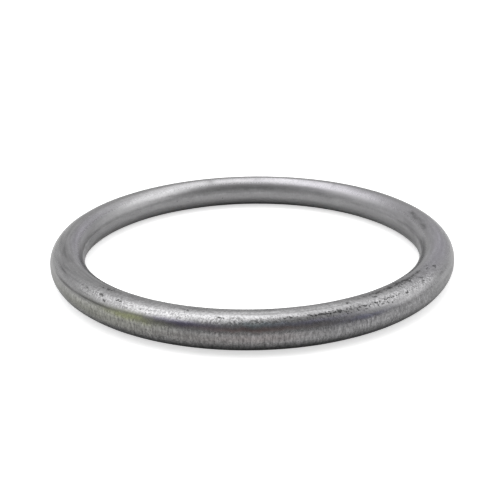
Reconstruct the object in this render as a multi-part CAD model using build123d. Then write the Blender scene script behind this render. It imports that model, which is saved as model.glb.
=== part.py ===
from build123d import *
from math import hypot, sqrt
import os

# Exhaust port gasket: one closed ring of plated steel with a round section, pressed
# lightly between flat tools. It lies on its underside. The origin is the centre of the
# ring on that underside, and +Z is the ring's axis, the way the exhaust gas passes.

# Driving dimensions, in millimetres
bore_diameter = 40.0       # clear way for the gas, across the wall of the bore
section_height = 4.0       # thickness of the ring, from land to land
land_width = 0.5           # flat that the press leaves on the top and on the underside
bore_wall_height = 0.5     # straight stretch halfway up the bore, where it is sized
rim_wall_height = 0.5      # straight stretch halfway up the rim, which enters the port

# Sizes that follow from them: each flat is a chord of the same round section
section_radius = hypot(section_height / 2, land_width / 2)
bore_wall_depth = sqrt(section_radius**2 - (bore_wall_height / 2) ** 2)
rim_wall_depth = sqrt(section_radius**2 - (rim_wall_height / 2) ** 2)
centre_line_radius = bore_diameter / 2 + bore_wall_depth
rim_radius = centre_line_radius + rim_wall_depth


def ring_section():
    """Section of the ring, in its place beside the axis, on the XZ plane.

    The round is cut back to the space that the tools leave: a land above and
    below, the wall of the bore on the inside and the wall of the rim outside.
    """
    mid_height = section_height / 2
    wall_to_wall = rim_radius - bore_diameter / 2
    between_walls = bore_diameter / 2 + wall_to_wall / 2
    with BuildSketch(Plane.XZ) as section:
        with Locations((centre_line_radius, mid_height)):
            Circle(section_radius)
        with Locations((between_walls, mid_height)):
            Rectangle(wall_to_wall, section_height, mode=Mode.INTERSECT)
    return section.sketch


def gasket_ring():
    """The whole gasket: its section turned once round the axis."""
    ring = revolve(ring_section(), axis=Axis.Z, revolution_arc=360)
    ring.label = "gasket_ring"
    return ring


os.makedirs("parts", exist_ok=True)
ring = gasket_ring()
export_step(ring, "parts/gasket_ring.step")

box = ring.bounding_box()
print(f"outside diameter {box.size.X:.3f} mm, height {box.size.Z:.3f} mm")
print(f"volume of metal {ring.volume:.1f} cubic mm")
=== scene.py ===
import random
from math import atan2, cos, degrees, exp, hypot, pi, radians, sin

import bmesh
import bpy
from mathutils import Matrix, Vector, noise
from mathutils.kdtree import KDTree


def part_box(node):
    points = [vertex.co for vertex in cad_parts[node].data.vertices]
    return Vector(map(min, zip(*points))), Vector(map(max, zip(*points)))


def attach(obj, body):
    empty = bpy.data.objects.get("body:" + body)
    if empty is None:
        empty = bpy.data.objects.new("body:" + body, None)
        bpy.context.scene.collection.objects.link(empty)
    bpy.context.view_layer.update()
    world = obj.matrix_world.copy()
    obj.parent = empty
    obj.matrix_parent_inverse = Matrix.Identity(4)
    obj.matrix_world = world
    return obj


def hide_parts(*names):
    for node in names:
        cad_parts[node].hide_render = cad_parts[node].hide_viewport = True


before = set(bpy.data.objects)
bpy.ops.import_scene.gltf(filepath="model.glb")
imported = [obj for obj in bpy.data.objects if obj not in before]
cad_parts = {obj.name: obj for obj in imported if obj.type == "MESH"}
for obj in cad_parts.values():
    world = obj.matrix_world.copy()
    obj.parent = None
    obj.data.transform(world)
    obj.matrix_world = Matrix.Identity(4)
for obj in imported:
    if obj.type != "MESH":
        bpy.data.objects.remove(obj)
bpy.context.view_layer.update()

# The gasket ring. The real piece is one closed ring of steel with a round section about
# 4 mm thick, formed in a ring die and pressed lightly between flat tools. It is plated
# with zinc, which has gone dull and mottled and has taken dark marks from handling.
MM = 0.001
ring_low, ring_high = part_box("gasket_ring")
half_height = (ring_high.z - ring_low.z) / 2
mid_height = (ring_high.z + ring_low.z) / 2
centre_line = ring_high.x - half_height
land_width = 0.5 * MM
section_radius = hypot(half_height, land_width / 2)

COARSE_STEPS = 138
CUTS_PER_STEP = 9
SECTION_POINTS = 72

# Places on the ring are an azimuth, 0 at the front of the photo and growing towards +X,
# and an angle up the section, 0 at the rim, 90 on the top land and 180 in the bore.


def place(azimuth, angle, depth=0.0):
    """Point on the ring at an azimuth and section angle in degrees, sunk by depth in mm."""
    out = section_radius * cos(radians(angle))
    up = section_radius * sin(radians(angle))
    out = max(-half_height, min(half_height, out)) - depth * MM * cos(radians(angle))
    up = max(-half_height, min(half_height, up)) - depth * MM * sin(radians(angle))
    reach = centre_line + out
    turn = radians(azimuth)
    return Vector((reach * sin(turn), -reach * cos(turn), mid_height + up))


def spot(azimuth, angle, mark_azimuth, mark_angle, half_length, half_width):
    """How strongly a soft mark covers a place: 1 at its middle, fading to 0 well outside it."""
    along = (azimuth - mark_azimuth + 180) % 360 - 180
    across = (angle - mark_angle + 180) % 360 - 180
    near = (along / half_length) ** 2 + (across / half_width) ** 2
    return exp(-near) if near < 8 else 0.0


def step_between(low, high, value):
    """Smooth step from 0 at low to 1 at high."""
    share = max(0.0, min(1.0, (value - low) / (high - low)))
    return share * share * (3 - 2 * share)


skin = bmesh.new()
section_angle = skin.verts.layers.float.new("section_angle")
circle = bmesh.ops.create_circle(skin, segments=SECTION_POINTS, radius=section_radius)
for point in circle["verts"]:
    point[section_angle] = degrees(atan2(point.co.y, point.co.x))
    point.co = place(90, point[section_angle])
bmesh.ops.spin(
    skin,
    geom=skin.verts[:] + skin.edges[:],
    cent=(0, 0, 0),
    axis=(0, 0, 1),
    angle=2 * pi,
    steps=COARSE_STEPS,
    use_merge=True,
)
lengthwise = []
for edge in skin.edges:
    first, last = edge.verts
    if abs(first[section_angle] - last[section_angle]) < 0.1:
        lengthwise.append(edge)
bmesh.ops.subdivide_edges(skin, edges=lengthwise, cuts=CUTS_PER_STEP, use_grid_fill=True)
bmesh.ops.recalc_face_normals(skin, faces=skin.faces)

# Faint tints in the plating. Each is a place, its half length round the ring and its half
# width up the section, all in degrees, then what it does to red, green and blue. Where a
# row's three factors all sit above or all below one, it also lightens or darkens the metal,
# and there it is partly painted highlight or painted shade besides the tint.
tints_and_painted_light = [
    (-31, 25, 7.5, 10, (1.28, 1.35, 0.82)),
    (-17, 34, 8, 7, (0.72, 0.68, 0.96)),
    (2, 42, 6, 5, (0.84, 0.96, 0.97)),
    (0, 27, 13, 5, (1.12, 0.88, 0.84)),
    (13, 39, 10, 6, (0.88, 0.86, 1.06)),
    (27, 25, 6, 5, (0.88, 0.90, 1.14)),
    (25, 20, 11, 13, (0.85, 0.84, 0.86)),
    (-10, -4, 17, 16, (0.88, 0.85, 0.84)),
    (3, 2, 10, 12, (1.03, 0.98, 0.97)),
    (-45, 0, 24, 24, (1.00, 1.01, 0.90)),
    (76, 80, 20, 26, (1.22, 1.19, 1.30)),
    (-88, 120, 24, 16, (1.15, 1.12, 1.21)),
    (140, 120, 45, 34, (1.00, 0.985, 1.03)),
]
# Painted highlights and painted shade: places where the metal is made to give back more or
# less light than the rest, standing in for highlights and dark reflections. The same four
# numbers, then how much of the light it gives back.
painted_highlights_and_shade = [
    (60, 28, 6, 8, 1.14),
    (180, 99, 30, 9, 1.38),
    (165, 106, 14, 8, 1.25),
    (-160, 98, 9, 8, 1.14),
    (-150, 135, 9, 9, 1.50),
    (-144, 145, 8, 6, 1.25),
    (-134, 134, 9, 10, 1.32),
    (180, 164, 80, 8, 1.50),
    (-14, 50, 13, 7, 1.14),
    (8, 66, 8, 3.5, 1.12),
    (24, 60, 14, 8, 0.80),
    (4, 86, 26, 7, 1.36),
    (19, 86, 5, 7, 1.16),
    (-52, 41, 12, 6, 1.24),
    (-41, 17, 15, 7, 1.28),
    (-29, 19, 6, 3, 1.12),
    (42, 28, 5, 6, 1.15),
    (2, 75, 32, 6, 0.68),
    (-58, 70, 8, 8, 1.18),
    (-60, 84, 6, 2.5, 1.14),
    (-72, 72, 6, 3, 1.14),
    (100, 195, 15, 22, 0.72),
    (-100, 200, 15, 18, 0.78),
    (-28, 71, 10, 6, 0.86),
    (88, 152, 14, 13, 1.52),
    (102, 130, 11, 9, 1.16),
    (108, 163, 18, 8, 1.20),
    (-84, 152, 16, 14, 1.32),
    (180, 202, 60, 9, 0.86),
    (150, 103, 26, 8, 1.14),
]
# Soft dark marks: place, half length, half width and how dark. Some are marks of heat and
# handling; the rest are painted shade, deepening dark reflections such as the band under the
# front highlight, dulling parts of that highlight and the front inner edge, and darkening
# edges of the reflections at the back.
smudges_and_painted_shade = [
    (-19, 31, 9, 6, 0.48),
    (-20, 24, 5, 4, 0.20),
    (-2, 30, 4, 6, 0.34),
    (12, 32, 14, 9, 0.32),
    (10, 26, 16, 3, 0.18),
    (14, 51, 11, 8, 0.50),
    (15, 56, 9, 4, 0.34),
    (25, 46, 6, 8, 0.34),
    (34, 35, 8, 6, 0.32),
    (-58, 30, 6, 2.5, 0.50),
    (-45, 30, 10, 2.5, 0.66),
    (-31, 34, 8, 2.5, 0.42),
    (-64, 54, 5, 2.5, 0.42),
    (-24, 14, 14, 2.5, 0.14),
    (14, 75, 13, 2.5, 0.20),
    (0, 109, 34, 9, 0.42),
    (-76, 82, 9, 4, 0.32),
    (-68, 93, 7, 3, 0.26),
    (-60, 72, 4, 3, 0.16),
    (-53, 61, 5, 2.5, 0.18),
    (-70, 102, 8, 2, 0.20),
    (-57, 99, 6, 2, 0.26),
    (-66, 71, 5, 2, 0.28),
    (-55, 83, 4, 2, 0.20),
    (-50, 93, 3, 2, 0.16),
    (-47, 76, 3, 3, 0.16),
    (-62, 110, 8, 4, 0.14),
    (-42, 90, 4, 8, 0.12),
    (40, 91, 12, 10, 0.44),
    (60, 38, 4, 3, 0.22),
    (50, 20, 6, 2.5, 0.16),
    (-46, -4, 16, 14, 0.06),
    (-82, 146, 9, 4, 0.14),
    (-67, 128, 8, 5, 0.18),
    (84, 140, 12, 4, 0.16),
    (99, 147, 7, 5, 0.18),
    (105.8, 112, 2.0, 7, 0.58),
    (102.3, 119, 2.0, 7, 0.46),
    (99.0, 112, 2.2, 7, 0.44),
    (94.0, 118, 2.4, 7, 0.54),
    (158, 143, 13, 4, 0.30),
    (135, 110, 6, 7, 0.16),
    (-164, 114, 1.6, 13, 0.30),
    (177.5, 112, 2.4, 10, 0.20),
    (147, 112, 1.0, 12, 0.14),
    (-128, 112, 12, 7, 0.14),
]
# Blots where the plating has gone through, whose edges the material breaks up: place, half
# length, half width and strength. A ragged row of them runs along the front right shoulder.
blots = [
    (9.0, 57, 5.0, 4, 0.55),
    (18.5, 56, 7.5, 7, 0.80),
    (23.0, 49, 4.5, 6, 0.60),
    (29.5, 54, 6.0, 4, 0.80),
    (28.0, 45, 5.0, 4, 0.50),
    (37.0, 54, 4.0, 3, 0.72),
    (42.6, 51, 1.2, 4, 0.95),
    (36.0, 42, 4.0, 5, 0.40),
    (19.7, 95, 0.8, 4, 0.85),
    (24.2, 79, 1.4, 5, 0.85),
    (31.0, 91, 2.4, 5, 0.82),
    (35.0, 89, 2.2, 8, 0.96),
    (33.0, 76, 1.0, 4, 0.90),
    (39.5, 91, 2.3, 9, 0.96),
    (43.6, 93, 2.8, 12, 1.00),
    (46.8, 88, 2.4, 11, 0.94),
    (47.3, 78, 1.1, 5, 0.90),
    (42.7, 79, 1.2, 4, 0.70),
    (49.8, 92, 2.0, 4, 0.84),
    (53.4, 92, 2.2, 5, 0.96),
    (59.2, 87, 1.6, 5, 0.88),
    (57.5, 80, 1.0, 4, 0.90),
    (60.5, 69, 1.0, 6, 1.30),
    (51.4, 68, 0.9, 5, 1.00),
    (50.9, 54, 0.9, 5, 0.95),
    (60.0, 39, 2.0, 3, 0.55),
    (-41.5, 90, 2.6, 9, 0.86),
    (-44.5, 86, 1.4, 5, 0.85),
    (-42.6, 60, 1.8, 4, 0.85),
    (-40.0, 47, 1.2, 4, 0.75),
    (-35.6, 61, 1.2, 5, 0.90),
    (-49.5, 60, 2.0, 3, 0.70),
    (-63.0, 55, 4.5, 3, 0.52),
    (-16.8, 77, 0.6, 7, 0.85),
    (-7.5, 60, 1.2, 3, 0.75),
    (-11.0, 53, 1.0, 3, 0.70),
    (131.0, 35, 1.2, 6, 0.90),
    (-141.0, 20, 1.4, 5, 0.90),
    (12.0, 200, 1.4, 6, 0.80),
]
# Pits in the plating: place, radius and depth in mm. Fine ones are strewn over the front.
pits = [
    (60.5, 69, 0.22, 0.05),
    (51.4, 68, 0.18, 0.04),
    (42.6, 51, 0.20, 0.05),
    (50.9, 54, 0.15, 0.03),
    (-42.6, 60, 0.25, 0.04),
    (-35.6, 61, 0.18, 0.03),
    (-41.0, 92, 0.20, 0.03),
    (19.9, 94, 0.16, 0.03),
    (25.4, 80, 0.16, 0.03),
    (33.0, 75, 0.18, 0.04),
    (47.3, 78, 0.20, 0.04),
    (-98.0, 62, 0.20, 0.03),
    (131.0, 35, 0.22, 0.04),
    (-141.0, 20, 0.20, 0.04),
    (12.0, 160, 0.20, 0.03),
]
chance = random.Random(7)
azimuth = 12.0
while azimuth < 45.0:
    row_angle = 57 - 0.16 * (azimuth - 12) + chance.gauss(0, 3)
    pits.append((azimuth, row_angle, chance.uniform(0.10, 0.17), 0.03))
    azimuth += chance.uniform(0.5, 1.4)
for _ in range(90):
    azimuth = chance.uniform(-60, 60)
    pits.append((azimuth, 60 + chance.gauss(0, 14), chance.uniform(0.09, 0.14), 0.015))

tree = KDTree(len(skin.verts))
for index, point in enumerate(skin.verts):
    tree.insert(point.co, index)
tree.balance()
skin.verts.ensure_lookup_table()
pit_depth = skin.verts.layers.float.new("pit_depth")
for pit_azimuth, pit_angle, pit_radius, depth in pits:
    centre = place(pit_azimuth, pit_angle)
    for found, index, distance in tree.find_range(centre, 1.5 * pit_radius * MM):
        share = distance / (pit_radius * MM)
        point = skin.verts[index]
        point[pit_depth] = max(point[pit_depth], depth * exp(-(share**2) * 1.2))

# Each point is sunk by the slight unevenness of the formed wire and by the pits, never
# raised. It takes the tint and painted light, the soiling and painted shade, and the blots
# that fall on it, how far the die has rubbed it, how coarse its grain is, how hazy it is and
# how clearly the drawn lines show.
wave_depth = 0.010
ripple_depth = 0.004
shoulder_angle = 19.5
painted_foot_shade = 0.48
blot_per_pit_depth = 14
tint_and_painted_light_layer = skin.verts.layers.float_color.new("tint_and_painted_light")
soil_and_painted_shade_layer = skin.verts.layers.float.new("soil_and_painted_shade")
blot_layer = skin.verts.layers.float.new("blot")
rub_layer = skin.verts.layers.float.new("rub")
grain_layer = skin.verts.layers.float.new("grain")
haze_layer = skin.verts.layers.float.new("haze")
lined_layer = skin.verts.layers.float.new("lined")
noise.seed_set(7)
for point in skin.verts:
    azimuth = degrees(atan2(point.co.x, -point.co.y))
    angle = point[section_angle]
    at = place(azimuth, angle) / MM
    wave = wave_depth * (1 + noise.noise(at * 0.28))
    ripple = ripple_depth * (1 + noise.noise(at * 0.9 + Vector((5, 0, 0))))
    point.co = place(azimuth, angle, wave + ripple + point[pit_depth])

    drift = noise.noise_vector(at * 0.8)
    fine = noise.noise_vector(at * 2.4)
    along_shift = 1.6 * drift.x + 0.8 * fine.x
    across_shift = 5.0 * drift.y + 3.0 * fine.y
    shoulder = shoulder_angle + 4 * step_between(20, 45, -azimuth) + 1.2 * drift.z
    rubbed = 1 - step_between(shoulder - 2, shoulder + 2, angle)
    rubbed *= step_between(-110, -85, angle)
    rubbed *= 1 - 0.35 * step_between(28, 48, abs(azimuth))
    point[rub_layer] = rubbed

    red = green = blue = 1.0
    for *mark, colour in tints_and_painted_light:
        cover = spot(azimuth + along_shift, angle + across_shift, *mark)
        red *= 1 + cover * (colour[0] - 1)
        green *= 1 + cover * (colour[1] - 1)
        blue *= 1 + cover * (colour[2] - 1)
    # Painted light: the listed highlights and shade lighten or darken the stored colour.
    painted_light = 1.0
    for *mark, painted_brightness in painted_highlights_and_shade:
        painted_light *= 1 + spot(azimuth + along_shift, angle + across_shift, *mark) * (painted_brightness - 1)
    point[tint_and_painted_light_layer] = (red * painted_light, green * painted_light, blue * painted_light, 1)

    # Stains and painted shade: each dark mark dims the metal where it lies.
    unsoiled_unshaded = 1.0
    for *mark, dark in smudges_and_painted_shade:
        half_length, half_width = mark[2:]
        along = azimuth + along_shift * min(1, half_length / 5)
        across = angle + across_shift * min(1, half_width / 10)
        unsoiled_unshaded *= 1 - dark * spot(along, across, *mark)
    # Painted shade: the underside of the rim, from just below its middle round past the bottom, is
    # darkened all round, standing in for the shade where the ring meets the table.
    unsoiled_unshaded *= 1 - painted_foot_shade * step_between(14, 42, -angle) * (1 - step_between(110, 140, -angle))
    point[soil_and_painted_shade_layer] = (1 - unsoiled_unshaded) * (1 - 0.7 * rubbed * step_between(0, 12, angle))

    blotted = point[pit_depth] * blot_per_pit_depth
    for *mark, strength in blots:
        blotted = max(blotted, strength * spot(azimuth, angle, *mark))
    point[blot_layer] = blotted

    forward = 1 - step_between(48, 66, azimuth) - step_between(40, 56, -azimuth)
    forward *= 1 - 0.25 * step_between(20, 30, -azimuth)
    sparkling = step_between(38, 46, angle) * (1 - step_between(58, 72, angle))
    sparkling *= 0.35 + 0.65 * step_between(-0.15, 0.35, noise.noise(at * 0.9 + Vector((0, 9, 0))))
    point[grain_layer] = 0.18 + forward * (0.22 + 0.94 * sparkling)
    point[haze_layer] = step_between(118, 150, angle) + step_between(110, 130, -angle)
    lined = 1 - 0.7 * step_between(95, 115, abs(azimuth))
    point[lined_layer] = lined + 1.1 * spot(azimuth, angle, -70, 80, 18, 36)
for face in skin.faces:
    face.smooth = True

ring_skin = bpy.data.meshes.new("ring_skin")
skin.to_mesh(ring_skin)
skin.free()
ring = bpy.data.objects.new("plated_ring", ring_skin)
bpy.context.scene.collection.objects.link(ring)

# Dull zinc plate on steel: neutral grey and metallic, mottled in flecks under half a
# millimetre, with fine strokes across the rim below its shoulder from the forming die.
plating = bpy.data.materials.new("dull_zinc_plate")
plating.use_nodes = True
nodes = plating.node_tree.nodes
links = plating.node_tree.links


def fill(socket, value):
    """Give a node's socket a value, or a link where the value is another node's socket."""
    if isinstance(value, bpy.types.NodeSocket):
        links.new(value, socket)
    else:
        socket.default_value = value


def arithmetic(operation, first, second=0.0, third=None):
    """One Math node."""
    made = nodes.new("ShaderNodeMath")
    made.operation = operation
    fill(made.inputs[0], first)
    fill(made.inputs[1], second)
    if third is not None:
        fill(made.inputs[2], third)
    return made.outputs[0]


def vector_of(operation, first, second=None, scale=None, output="Vector"):
    """One Vector Math node."""
    made = nodes.new("ShaderNodeVectorMath")
    made.operation = operation
    fill(made.inputs[0], first)
    if second is not None:
        fill(made.inputs[1], second)
    if scale is not None:
        fill(made.inputs["Scale"], scale)
    return made.outputs[output]


def cloud(vector, per_mm, detail, roughness, fourth=None):
    """One Noise Texture node: values round a half, in per_mm cells to a millimetre."""
    made = nodes.new("ShaderNodeTexNoise")
    if fourth is not None:
        made.noise_dimensions = "4D"
        fill(made.inputs["W"], fourth)
    fill(made.inputs["Vector"], vector)
    made.inputs["Scale"].default_value = per_mm
    made.inputs["Detail"].default_value = detail
    made.inputs["Roughness"].default_value = roughness
    return made.outputs["Fac"]


def stored(name, output="Fac"):
    """One Attribute node that reads what the mesh stores at its points."""
    made = nodes.new("ShaderNodeAttribute")
    made.attribute_name = name
    return made.outputs[output]


def swing(amount, around, reach):
    """A noise value as a number that swings by reach either side of around."""
    centred = arithmetic("SUBTRACT", amount, 0.5)
    return arithmetic("MULTIPLY_ADD", centred, 2 * reach, around)


# Places on the surface in millimetres, then the same drawn out for the strokes, which run up
# the section, and for the fine lines, which run along the ring.
surface = nodes.new("ShaderNodeTexCoord").outputs["Object"]
in_mm = vector_of("SCALE", surface, scale=1000.0)
parts = nodes.new("ShaderNodeSeparateXYZ")
fill(parts.inputs[0], in_mm)
flat = nodes.new("ShaderNodeCombineXYZ")
fill(flat.inputs["X"], parts.outputs["X"])
fill(flat.inputs["Y"], parts.outputs["Y"])
heading = vector_of("NORMALIZE", flat.outputs[0])
on_centre_line = vector_of("SCALE", heading, scale=centre_line / MM)
lift = nodes.new("ShaderNodeCombineXYZ")
fill(lift.inputs["Z"], arithmetic("MULTIPLY", parts.outputs["Z"], 0.30))
along_ring = vector_of("ADD", on_centre_line, lift.outputs[0])
drawn = nodes.new("ShaderNodeCombineXYZ")
fill(drawn.inputs["Z"], parts.outputs["Z"])
drawn_along = vector_of("ADD", vector_of("SCALE", heading, scale=1.6), drawn.outputs[0])
from_axis = vector_of("LENGTH", flat.outputs[0], output="Value")

# The stored colour holds the plating's tints with the painted highlights and shade; the stored soil
# holds its stains with the painted shade.
tint_and_painted_light = stored("tint_and_painted_light", "Color")
soil_and_painted_shade = stored("soil_and_painted_shade")
blot = stored("blot")
rub = stored("rub")
graininess = stored("grain")
haze = stored("haze")
lined = stored("lined")

strokes = cloud(along_ring, 5.2, 1.0, 0.6)
patches = cloud(in_mm, 0.35, 2.0, 0.5)
mottle = cloud(in_mm, 1.4, 2.0, 0.6)
grain = cloud(in_mm, 4.4, 2.0, 0.6)
ragged = cloud(in_mm, 4.2, 1.0, 0.5)
lines = cloud(drawn_along, 2.6, 3.0, 0.6, from_axis)

flecks = nodes.new("ShaderNodeMapRange")
flecks.interpolation_type = "SMOOTHSTEP"
fill(flecks.inputs["Value"], grain)
flecks.inputs["From Min"].default_value = 0.36
flecks.inputs["From Max"].default_value = 0.64
stroke_swing = arithmetic("MULTIPLY", swing(strokes, 0.0, 0.80), rub)
grain_swing = arithmetic("MULTIPLY", swing(flecks.outputs["Result"], 0.0, 0.34), graininess)
mottle_swing = arithmetic("MULTIPLY", swing(mottle, 0.0, 0.26), graininess)

edge = nodes.new("ShaderNodeMapRange")
edge.interpolation_type = "SMOOTHSTEP"
fill(edge.inputs["Value"], arithmetic("ADD", blot, swing(ragged, 0.0, 1.15)))
edge.inputs["From Min"].default_value = 0.52
edge.inputs["From Max"].default_value = 0.70
blot_shown = edge.outputs["Result"]

soil_and_shade_held = nodes.new("ShaderNodeClamp")
soil_and_shade_broken = arithmetic("MULTIPLY_ADD", grain_swing, 1.2, 1.0)
fill(soil_and_shade_held.inputs[0], arithmetic("MULTIPLY", soil_and_painted_shade, soil_and_shade_broken))
soil_and_shade_shown = soil_and_shade_held.outputs[0]

# The grey of the plating takes each of these in turn; a blot leaves a third of it. The
# rubbed band below the shoulder is darkened by about a sixth, which is painted shade on the
# lower wall.
left_by_blot = arithmetic("MULTIPLY_ADD", blot_shown, -0.66, 1.0)
left_by_painted_wall_shade = arithmetic("MULTIPLY_ADD", rub, -0.17, 1.0)
shown_by_lines = arithmetic("MULTIPLY_ADD", swing(lines, 0.0, 0.42), lined, 1.0)
shade = arithmetic("ADD", grain_swing, 1.0)
for part_left in [
    arithmetic("ADD", mottle_swing, 1.0),
    arithmetic("ADD", stroke_swing, 1.0),
    swing(patches, 1.0, 0.08),
    shown_by_lines,
    arithmetic("SUBTRACT", 1.0, soil_and_shade_shown),
    left_by_blot,
    left_by_painted_wall_shade,
]:
    shade = arithmetic("MULTIPLY", shade, part_left)

grey = vector_of("SCALE", (0.317, 0.315, 0.320), scale=shade)
colour = vector_of("MULTIPLY", grey, tint_and_painted_light)

# Roughness of the clean plating, and how much more each mark and each grain gives it
gloss = 0.22
for mark, rougher in [
    (soil_and_shade_shown, 0.12),
    (blot_shown, 0.16),
    (grain_swing, 0.20),
    (mottle_swing, 0.20),
    (rub, 0.06),
    (haze, 0.14),
]:
    gloss = arithmetic("MULTIPLY_ADD", mark, rougher, gloss)

relief = nodes.new("ShaderNodeBump")
relief.inputs["Strength"].default_value = 1.0
relief.inputs["Distance"].default_value = 0.01 * MM
height = arithmetic("ADD", grain_swing, mottle_swing)
height = arithmetic("ADD", height, arithmetic("MULTIPLY", stroke_swing, 0.5))
height = arithmetic("SUBTRACT", height, arithmetic("MULTIPLY", blot_shown, 0.8))
fill(relief.inputs["Height"], height)

shader = nodes["Principled BSDF"]
fill(shader.inputs["Base Color"], colour)
shader.inputs["Metallic"].default_value = 1.0
shader.inputs["Specular Tint"].default_value = (0.82, 0.82, 0.82, 1)
fill(shader.inputs["Roughness"], gloss)
fill(shader.inputs["Normal"], relief.outputs[0])
ring_skin.materials.append(plating)

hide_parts("gasket_ring")
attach(ring, "root")

# The table is a plain white sheet under the ring, wide enough to fill the view. The camera
# sees it a little brighter than it is, as in a photo exposed for the metal. It is not part
# of the gasket.
sheet = bmesh.new()
bmesh.ops.create_grid(sheet, x_segments=1, y_segments=1, size=2.0)
table_top = bpy.data.meshes.new("table_top")
sheet.to_mesh(table_top)
sheet.free()
table = bpy.data.objects.new("table", table_top)
bpy.context.scene.collection.objects.link(table)
paper = bpy.data.materials.new("white_sheet")
paper.use_nodes = True
seen_directly = paper.node_tree.nodes.new("ShaderNodeLightPath").outputs["Is Camera Ray"]
sheet_shader = paper.node_tree.nodes["Principled BSDF"]
sheet_shader.inputs["Base Color"].default_value = (0.82, 0.82, 0.82, 1)
sheet_shader.inputs["Roughness"].default_value = 0.9
sheet_shader.inputs["Emission Strength"].default_value = 0.6
paper.node_tree.links.new(seen_directly, sheet_shader.inputs["Emission Color"])
table_top.materials.append(paper)

# Soft light as in a white photo tent: bright cloth overhead and behind, paler at the two
# sides, fading to the dim room behind the camera. One broad lamp overhead adds a little.
# The camera sees the cloth as plain white.
world = bpy.data.worlds.new("photo_tent")
world.use_nodes = True
# From here the functions that add nodes and links add them to the world
nodes = world.node_tree.nodes
links = world.node_tree.links
sight = vector_of("NORMALIZE", nodes.new("ShaderNodeTexCoord").outputs["Generated"])


def glow(azimuth, elevation, core, reach, radiance):
    """A soft patch of bright cloth in one direction, fading from its core to its reach."""
    turn, rise = radians(azimuth), radians(elevation)
    towards = (cos(rise) * sin(turn), -cos(rise) * cos(turn), sin(rise))
    off = arithmetic("ARCCOSINE", vector_of("DOT_PRODUCT", sight, towards, output="Value"))
    fade = nodes.new("ShaderNodeMapRange")
    fade.interpolation_type = "SMOOTHSTEP"
    fill(fade.inputs["Value"], off)
    fade.inputs["From Min"].default_value = radians(reach)
    fade.inputs["From Max"].default_value = radians(core)
    fade.inputs["To Max"].default_value = radiance
    return fade.outputs["Result"]


rise_of_sight = nodes.new("ShaderNodeSeparateXYZ")
fill(rise_of_sight.inputs[0], sight)
horizon = nodes.new("ShaderNodeMapRange")
horizon.interpolation_type = "SMOOTHSTEP"
fill(horizon.inputs["Value"], rise_of_sight.outputs["Z"])
horizon.inputs["From Min"].default_value = sin(radians(50))
horizon.inputs["From Max"].default_value = 0.0
horizon.inputs["To Min"].default_value = 0.25
horizon.inputs["To Max"].default_value = 0.41
light = horizon.outputs["Result"]
for patch in [
    (171, 70, 0, 46, 1.75),
    (94, 38, 6, 41, 1.18),
    (266, 56, 0, 43, 1.56),
    (187, 25, 60, 120, 0.38),
]:
    light = arithmetic("ADD", light, glow(*patch))
seen_directly = nodes.new("ShaderNodeLightPath").outputs["Is Camera Ray"]
tent = nodes["Background"]
tent.inputs["Color"].default_value = (1, 1, 1, 1)
fill(tent.inputs["Strength"], arithmetic("ADD", light, seen_directly))
bpy.context.scene.world = world

lamp_data = bpy.data.lights.new("overhead_lamp", "AREA")
lamp_data.shape = "DISK"
lamp_data.size = 0.30
lamp_data.energy = 0.03
lamp = bpy.data.objects.new("overhead_lamp", lamp_data)
lamp.location = (0, 0.05, 0.40)
lamp.visible_camera = False
bpy.context.scene.collection.objects.link(lamp)

# The camera looks down on the ring from about a hand's width away, through a lens of about
# 61 mm. It is turned a little in its roll, and the ring is a little off the picture's middle.
image_width = 500
focal_pixels = 851.4
distance = 103.5 * MM
elevation = radians(21.776)
roll = radians(-0.85)
ring_pixel = (251.96, 246.12)
sensor = 36.0

camera_data = bpy.data.cameras.new("camera")
camera_data.sensor_width = sensor
camera_data.lens = sensor * focal_pixels / image_width
camera_data.shift_x = (image_width / 2 - ring_pixel[0]) / image_width
camera_data.shift_y = (ring_pixel[1] - image_width / 2) / image_width
camera_data.clip_start = 0.001
camera = bpy.data.objects.new("camera", camera_data)
aim = Vector((0, 0, mid_height))
stand = aim + distance * Vector((0, -cos(elevation), sin(elevation)))
upright = (aim - stand).to_track_quat("-Z", "Y").to_matrix().to_4x4()
camera.matrix_world = Matrix.Translation(stand) @ upright @ Matrix.Rotation(roll, 4, "Z")
bpy.context.scene.collection.objects.link(camera)
bpy.context.scene.camera = camera
bpy.context.scene.view_settings.view_transform = "Standard"
